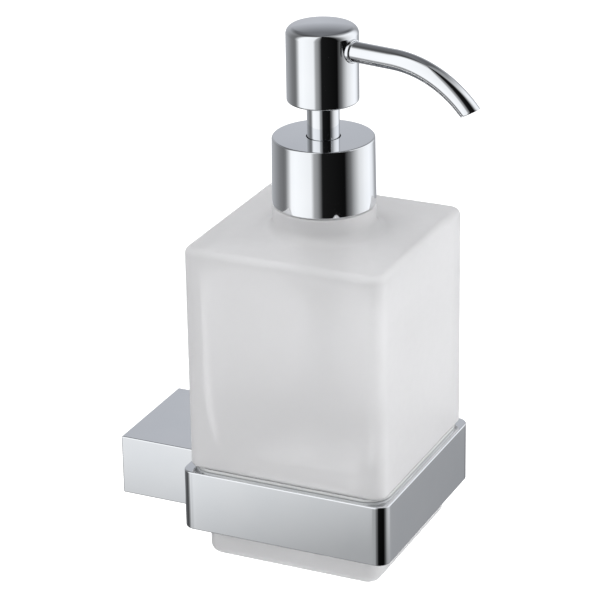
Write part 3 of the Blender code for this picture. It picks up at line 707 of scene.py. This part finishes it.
def make_bottle():
    """Thick glass: outside from the foot up to the neck's rim, then inside down to the cavity's floor."""
    foot, body = FOOT_HALF, node_size("bottle").x / 2
    bottom, rim = bottom_of("bottle"), top_of("bottle")
    shoulder = top_of("ring_liner") + GAP
    top, seat = BODY_TOP, bottom_of("collar") - GAP
    boss = node_size("collar").x / 2
    outline = rounded(
        [
            (0.0, bottom, 0.0),
            (foot, bottom, FOOT_EDGE),
            (foot, shoulder, 0.0006),
            (body, shoulder, BODY_BASE_EDGE),
            (body, top, BODY_EDGE),
            (boss, top, BOSS_FILLET),
            (boss, seat, 0.0007),
            (NECK_RADIUS, seat, 0.0004),
            (NECK_RADIUS, rim, 0.0006),
            (NECK_BORE, rim, 0.0005),
            (NECK_BORE, rim - 0.01, 0.0),
        ],
        8,
    )
    body_end = boss + BOSS_FILLET + 0.0001
    sections = []
    for reach, height in outline[1:]:
        if height > top - 1e-6 and reach <= body_end:
            corner = reach
        elif height < shoulder - 0.001:
            corner = FOOT_CORNER - (foot - reach)
        elif reach < body - BODY_EDGE - 1e-6:
            corner = FOOT_CORNER
        else:
            corner = BODY_CORNER - (body - reach)
        sections.append((reach, corner, height))
    shape = bmesh.new()
    outer = square_loops(shape, sections)
    inner = square_loops(shape, cavity_sections(top, shoulder, bottom, body - GLASS_WALL))
    skin(shape, outer + inner, closed=False)
    for face in shape.faces:
        face.material_index = 0
    inner_points = {point for loop in inner for point in loop}
    for face in shape.faces:
        if all(point in inner_points for point in face.verts):
            face.material_index = 1
    shape.faces.new(outer[0])
    floor = shape.faces.new(inner[-1])
    floor.material_index = 1
    bottle = add_piece(
        "glass_bottle", mesh_of("glass_bottle", shape), FROSTED_GLASS, ["bottle"], ON_PUMP_AXIS
    )
    bottle.data.materials.append(CAVITY_GLASS)


def cavity_sections(top, shoulder, bottom, hollow):
    """The hollow in the glass, from the neck's bore down to its floor."""
    return [
        (NECK_BORE + 0.0002, NECK_BORE + 0.0002, top + 0.0025),
        (NECK_BORE + 0.001, NECK_BORE + 0.001, top + 0.0005),
        (0.0135, 0.0135, top - 0.002),
        (0.0185, 0.0175, top - 0.0037),
        (0.0245, 0.0155, top - 0.0048),
        (hollow - 0.0028, 0.0115, top - 0.0064),
        (hollow - 0.0008, 0.0085, top - 0.009),
        (hollow, 0.0072, top - 0.0125),
        (hollow + 0.0002, 0.0068, top - 0.022),
        (hollow, 0.0066, (top + shoulder) / 2),
        (hollow - 0.0003, 0.0068, shoulder + 0.022),
        (hollow - 0.0007, 0.0075, shoulder + 0.014),
        (hollow - 0.0018, 0.0085, shoulder + 0.0075),
        (hollow - 0.0036, 0.0088, shoulder + 0.003),
        (0.0254, 0.0088, shoulder - 0.0005),
        (0.0248, 0.009, shoulder - 0.006),
        (0.0246, 0.009, bottom + 0.013),
        (0.0238, 0.0092, bottom + 0.0098),
        (0.0215, 0.0095, bottom + 0.0076),
        (0.0165, 0.009, bottom + 0.0064),
        (0.008, 0.005, bottom + 0.0058),
    ]


def make_thread():
    """The neck's thread: a ridge that winds down the neck and fades out at both ends."""
    bottom, pitch, turns, half_width, depth = 0.1024, 0.004, 1.6, 0.001, 0.0006
    root = NECK_RADIUS - 0.0001
    ridge = ((0.0, -1.0), (0.85, -0.55), (1.0, 0.0), (0.85, 0.55), (0.0, 1.0))
    steps = int(turns * COARSE_STEPS)
    shape = bmesh.new()
    loops = []
    for i in range(steps + 1):
        along = i / steps
        rise = depth * min(1.0, 9 * along, 9 * (1 - along)) + 0.00012
        angle = math.tau * turns * along
        height = bottom + pitch * turns * along
        loop = []
        for share, level in ridge:
            radius, z = root + rise * share, height + level * half_width
            loop.append(shape.verts.new((radius * math.cos(angle), radius * math.sin(angle), z)))
        loops.append(loop)
    skin(shape, loops, closed=False)
    shape.faces.new(loops[0])
    shape.faces.new(loops[-1])
    mesh = mesh_of("neck_thread", shape)
    add_piece("neck_thread", mesh, FROSTED_GLASS, [], ON_PUMP_AXIS, body="bottle", sharp_angle=60)


# The pump

def make_collar():
    bottom, top = bottom_of("collar"), top_of("collar")
    outside, taper, skin_depth, bore = node_size("collar").x / 2, 0.0003, 0.0007, 0.0057
    under = top - 0.0011
    corners = [(outside, bottom, 0.0003), (outside - taper, top, 0.00065), (bore, top, 0.00012)]
    corners += [(bore, under, 0.0), (outside - taper - skin_depth, under, 0.0003)]
    corners += [(outside - skin_depth, bottom, 0.0001)]
    add_piece(
        "chrome_collar", lathe("chrome_collar", rounded(corners, 8)), CHROME, ["collar"], ON_PUMP_AXIS
    )


def make_insert():
    """The closure's plastic insert."""
    bottom, top = bottom_of("collar_insert"), top_of("collar_insert")
    outside, bore = node_size("collar_insert").x / 2, 0.006
    under = 0.1178
    corners = [(outside, bottom, 0.0003), (outside, top, 0.0006), (bore, top, 0.0), (bore, under, 0.0)]
    corners += [(0.0145, under, 0.0004), (0.0145, bottom, 0.0003)]
    mesh = lathe("closure_insert", rounded(corners), COARSE_STEPS)
    add_piece("closure_insert", mesh, WHITE_PLASTIC, ["collar_insert"], ON_PUMP_AXIS, sharp_angle=50)


def make_sleeve():
    bottom, top = bottom_of("stem_sleeve"), top_of("stem_sleeve")
    outside = node_size("stem_sleeve").x / 2
    inside = outside - 0.0007
    corners = [(outside, bottom, 0.0002), (outside, top, 0.0002)]
    corners += [(inside, top, 0.0), (inside, bottom, 0.0)]
    mesh = lathe("chrome_sleeve", rounded(corners))
    add_piece("chrome_sleeve", mesh, CHROME, ["stem_sleeve"], ON_PUMP_AXIS, sharp_angle=50)


def make_head():
    """The hollow head: a low crown, a round shoulder, a plain side and a small edge at the bottom."""
    bottom, top = bottom_of("head"), top_of("head")
    radius, skin_depth, side = HEAD_RADIUS, HEAD_SKIN, top - 0.01
    outline = head_outline(radius, top, HEAD_SHOULDER, CROWN_RISE)
    lower = rounded(
        [
            (radius, side, 0.0),
            (radius, bottom, HEAD_BOTTOM_EDGE),
            (radius - skin_depth, bottom, 0.0),
            (radius - skin_depth, side, 0.0),
        ],
        6,
    )
    inner = head_outline(radius - skin_depth, top - skin_depth, HEAD_SHOULDER - skin_depth, CROWN_RISE)
    mesh = lathe("chrome_head", outline + lower[1:-1] + inner[::-1])
    head = add_piece("chrome_head", mesh, CHROME, ["head"], ON_HEAD_AXIS, sharp_angle=60)
    hole = rod("spout_hole", SPOUT_RADIUS + GAP, 0.012, (0.0, 0.0, 0.0), 0.0, 64)
    hole.transform(ON_HEAD_AXIS @ Matrix.Translation((0.006, 0.0, SPOUT_HEIGHT)) @ SIDEWAYS)
    carve(head, hole)
    head.data.shade_smooth()
    head.data.set_sharp_from_angle(angle=math.radians(40))


def head_outline(radius, top, shoulder, crown, crown_points=10, shoulder_points=12):
    """From the middle of the crown out and down to the end of the shoulder."""
    inner = radius - shoulder
    slope = 2 * crown / inner
    points = []
    for i in range(crown_points):
        reach = inner * i / crown_points
        points.append((reach, top - crown * (reach / inner) ** 2))
    start = math.pi / 2 - math.atan(slope)
    drop = shoulder * math.sin(start)
    for i in range(shoulder_points + 1):
        angle = start * (1 - i / shoulder_points)
        reach = inner + shoulder * math.cos(angle) - shoulder * math.cos(start) * (angle / start)
        points.append((reach, top - crown - drop + shoulder * math.sin(angle)))
    return points


def make_head_base():
    bottom, top = bottom_of("head_base"), top_of("head_base")
    outside, bore = node_size("head_base").x / 2, 0.0057
    corners = [(outside, bottom, 0.0), (outside, top, 0.0), (bore, top, 0.0), (bore, bottom, 0.0002)]
    mesh = lathe("chrome_head_base", rounded(corners))
    add_piece("chrome_head_base", mesh, CHROME, ["head_base"], ON_PUMP_AXIS, sharp_angle=50)


def spout_point(along):
    """The spout's middle line at a distance from its start: (place, direction) in the head's frame."""
    level = SPOUT_STRAIGHT_END - SPOUT_START
    if along <= level:
        return Vector((SPOUT_START + along, 0.0, SPOUT_HEIGHT)), Vector((1.0, 0.0, 0.0))
    turn = min((along - level) / SPOUT_BEND_RADIUS, SPOUT_BEND_ANGLE)
    beyond = max(along - level - SPOUT_BEND_RADIUS * SPOUT_BEND_ANGLE, 0.0)
    direction = Vector((math.cos(turn), 0.0, -math.sin(turn)))
    place = Vector((SPOUT_STRAIGHT_END, 0.0, SPOUT_HEIGHT - SPOUT_BEND_RADIUS))
    place += SPOUT_BEND_RADIUS * Vector((math.sin(turn), 0.0, math.cos(turn)))
    return place + beyond * direction, direction


def make_spout():
    """The bent tube, open at both ends, with its mouth cut slightly off square."""
    shape = bmesh.new()
    sides, stations, lip = 64, 90, 0.00012
    rings = [(SPOUT_BORE, 0.0)]
    rings += [(SPOUT_RADIUS, SPOUT_LENGTH * i / stations) for i in range(stations)]
    rings += [(SPOUT_RADIUS, SPOUT_LENGTH - lip), (SPOUT_RADIUS - lip / 2, SPOUT_LENGTH - lip / 4)]
    rings += [(SPOUT_RADIUS - lip * 1.5, SPOUT_LENGTH), (SPOUT_BORE + lip, SPOUT_LENGTH)]
    rings += [(SPOUT_BORE, SPOUT_LENGTH - lip)]
    rings += [(SPOUT_BORE, SPOUT_LENGTH * i / stations) for i in range(stations - 1, 0, -1)]
    loops = []
    for radius, along in rings:
        place, direction = spout_point(along)
        upward = Vector((-direction.z, 0.0, direction.x))
        slanted = max(along - SPOUT_LENGTH + MOUTH_SLANT_LENGTH, 0.0) / MOUTH_SLANT_LENGTH
        slant = math.tan(MOUTH_SLANT) * slanted
        loop = []
        for i in range(sides):
            angle = math.tau * i / sides
            across = radius * math.cos(angle)
            point = place + across * upward + Vector((0.0, radius * math.sin(angle), 0.0))
            point += direction * (across - SPOUT_RADIUS) * slant
            loop.append(shape.verts.new(point))
        loops.append(loop)
    skin(shape, loops, closed=True)
    mesh = mesh_of("chrome_spout", shape)
    add_piece("chrome_spout", mesh, CHROME, ["spout"], ON_HEAD_AXIS, sharp_angle=55)


def make_ferrule():
    """The thin rim that covers the joint of spout and head, shaped to the head's round side."""
    start, end = HEAD_RADIUS - 0.0022, HEAD_RADIUS + FERRULE_REACH
    inside, outside = SPOUT_RADIUS + TOUCH_GAP, SPOUT_RADIUS + FERRULE_RIM
    corners = [(outside, start, 0.0), (outside, end, 0.0003)]
    corners += [(inside, end, 0.0002), (inside, start, 0.0)]
    mesh = lathe("chrome_ferrule", rounded(corners), 96)
    place = ON_HEAD_AXIS @ Matrix.Translation((0.0, 0.0, SPOUT_HEIGHT)) @ SIDEWAYS
    ferrule = add_piece("chrome_ferrule", mesh, CHROME, ["spout_ferrule"], place, sharp_angle=50)
    middle = (0.0, AXIS_Y, SPOUT_HEIGHT - 0.015)
    carve(ferrule, rod("head_side", HEAD_RADIUS + TOUCH_GAP, 0.03, middle, sides=FINE_STEPS))
    ferrule.data.shade_smooth()
    ferrule.data.set_sharp_from_angle(angle=math.radians(40))


def make_housing():
    """The pump's barrel with its flange, stiffening rings and the socket for the dip tube."""
    top, bottom = top_of("pump_housing"), bottom_of("pump_housing")
    flange, barrel, bore, socket = 0.0134, 0.0085, 0.00675, 0.0033
    under, spring_seat, socket_top, valve = top - 0.0014, 0.0735, 0.0626, 0.0636
    corners = [(flange, top, 0.0003), (flange, under, 0.0003), (barrel, under, 0.0004)]
    for height in (0.104, 0.0925, 0.0812):
        corners += [(barrel, height + 0.0007, 0.0002), (barrel + 0.0004, height + 0.0004, 0.0002)]
        corners += [(barrel + 0.0004, height - 0.0004, 0.0002), (barrel, height - 0.0007, 0.0002)]
    corners += [(barrel, spring_seat, 0.0006), (0.0062, 0.07, 0.0006), (0.0048, 0.069, 0.0003)]
    corners += [(0.0048, bottom, 0.0003), (socket, bottom, 0.0002), (socket, socket_top, 0.0)]
    corners += [(0.0015, socket_top, 0.0), (0.0015, valve, 0.0), (0.003, valve + 0.0016, 0.0)]
    corners += [(0.0033, valve + 0.0024, 0.0), (0.0033, spring_seat - 0.002, 0.0)]
    corners += [(bore, spring_seat, 0.0), (bore, top, 0.0002)]
    mesh = lathe("pump_barrel", rounded(corners, 4), COARSE_STEPS)
    add_piece("pump_barrel", mesh, WHITE_PLASTIC, ["pump_housing"], ON_PUMP_AXIS, sharp_angle=50)


def make_gasket():
    bottom, top = bottom_of("neck_gasket"), top_of("neck_gasket")
    outside, inside = node_size("neck_gasket").x / 2, 0.0105
    edge = 0.0003
    corners = [(outside, bottom, edge), (outside, top, edge)]
    corners += [(inside, top, edge), (inside, bottom, edge)]
    mesh = lathe("rim_gasket", rounded(corners, 5), COARSE_STEPS)
    add_piece("rim_gasket", mesh, SOFT_PLASTIC, ["neck_gasket"], ON_PUMP_AXIS)


def make_tube():
    """The suction tube, cut at a slant at its lower end."""
    bottom, top = bottom_of("dip_tube"), top_of("dip_tube")
    outside = node_size("dip_tube").x / 2
    inside = outside - 0.0008
    below = bottom - 0.004
    corners = [(outside, below, 0.0), (outside, top, 0.0001), (inside, top, 0.0001), (inside, below, 0.0)]
    mesh = lathe("suction_tube", rounded(corners, 3), COARSE_STEPS)
    tube = add_piece("suction_tube", mesh, CLEAR_PLASTIC, ["dip_tube"], ON_PUMP_AXIS, sharp_angle=50)
    slant = math.radians(30)
    cutter = cuboid("slant", (-0.02, -0.02, -0.02), (0.02, 0.02, 0.0))
    level = bottom + outside * math.tan(slant)
    turned = Matrix.Rotation(slant, 4, "Y")
    cutter.transform(ON_PUMP_AXIS @ Matrix.Translation((0.0, 0.0, level)) @ turned)
    carve(tube, cutter)
    tube.data.shade_smooth()
    tube.data.set_sharp_from_angle(angle=math.radians(50))


def make_plate():
    """The zinc plate on the wall, with its tongue and two screw holes."""
    low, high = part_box("wall_plate")
    thickness, tongue_x, tongue_z, screw_x, hole = 0.003, 0.006, 0.005, 0.0125, 0.0024
    mesh = cuboid("zinc_wall_plate", (low.x, high.y - thickness, low.z), high, 0.0003, 3)
    tongue_end = (tongue_x, high.y - thickness / 2, tongue_z)
    tongue = cuboid("tongue", (-tongue_x, low.y, -tongue_z), tongue_end, 0.0003, 3)
    plate = add_piece("zinc_wall_plate", mesh, ZINC, ["wall_plate"], sharp_angle=40)
    carve(plate, tongue, "UNION")
    for x in (-screw_x, screw_x):
        place = (x, high.y + CUT_MARGIN, 0.0)
        carve(plate, rod("hole", hole, 2 * thickness, place, math.radians(90)))
    plate.data.shade_smooth()
    plate.data.set_sharp_from_angle(angle=math.radians(40))


def keep_cad_nodes():
    """Small inner parts keep their CAD shape, with the finishes of this scene."""
    finishes = {
        WHITE_PLASTIC: ("guide_bush", "piston_rod", "head_insert"),
        CLEAR_PLASTIC: ("spout_liner",),
        SOFT_PLASTIC: ("piston",),
        STEEL: (
            "inlet_ball",
            "outlet_ball",
            "return_spring",
            "grub_screw",
            "ring_screw_left",
            "ring_screw_right",
        ),
    }
    for material, names in finishes.items():
        for name in names:
            node = frame["nodes"][name]
            node.data.materials.clear()
            node.data.materials.append(material)


def make_dispenser():
    make_ring()
    make_block()
    make_plate()
    make_liner()
    make_bottle()
    make_thread()
    make_collar()
    make_insert()
    make_sleeve()
    make_head()
    make_head_base()
    make_spout()
    make_ferrule()
    make_housing()
    make_gasket()
    make_tube()
    keep_cad_nodes()


make_camera()
make_world()
make_floor()
make_tent()
make_light("key_light", (-0.3, 0.0, 1.4), size=1.0, power=9.0)
make_light("fill_light", (0.3, -1.0, -0.1), size=0.6, power=4.0)
make_dispenser()

bpy.context.scene.view_settings.view_transform = "Standard"
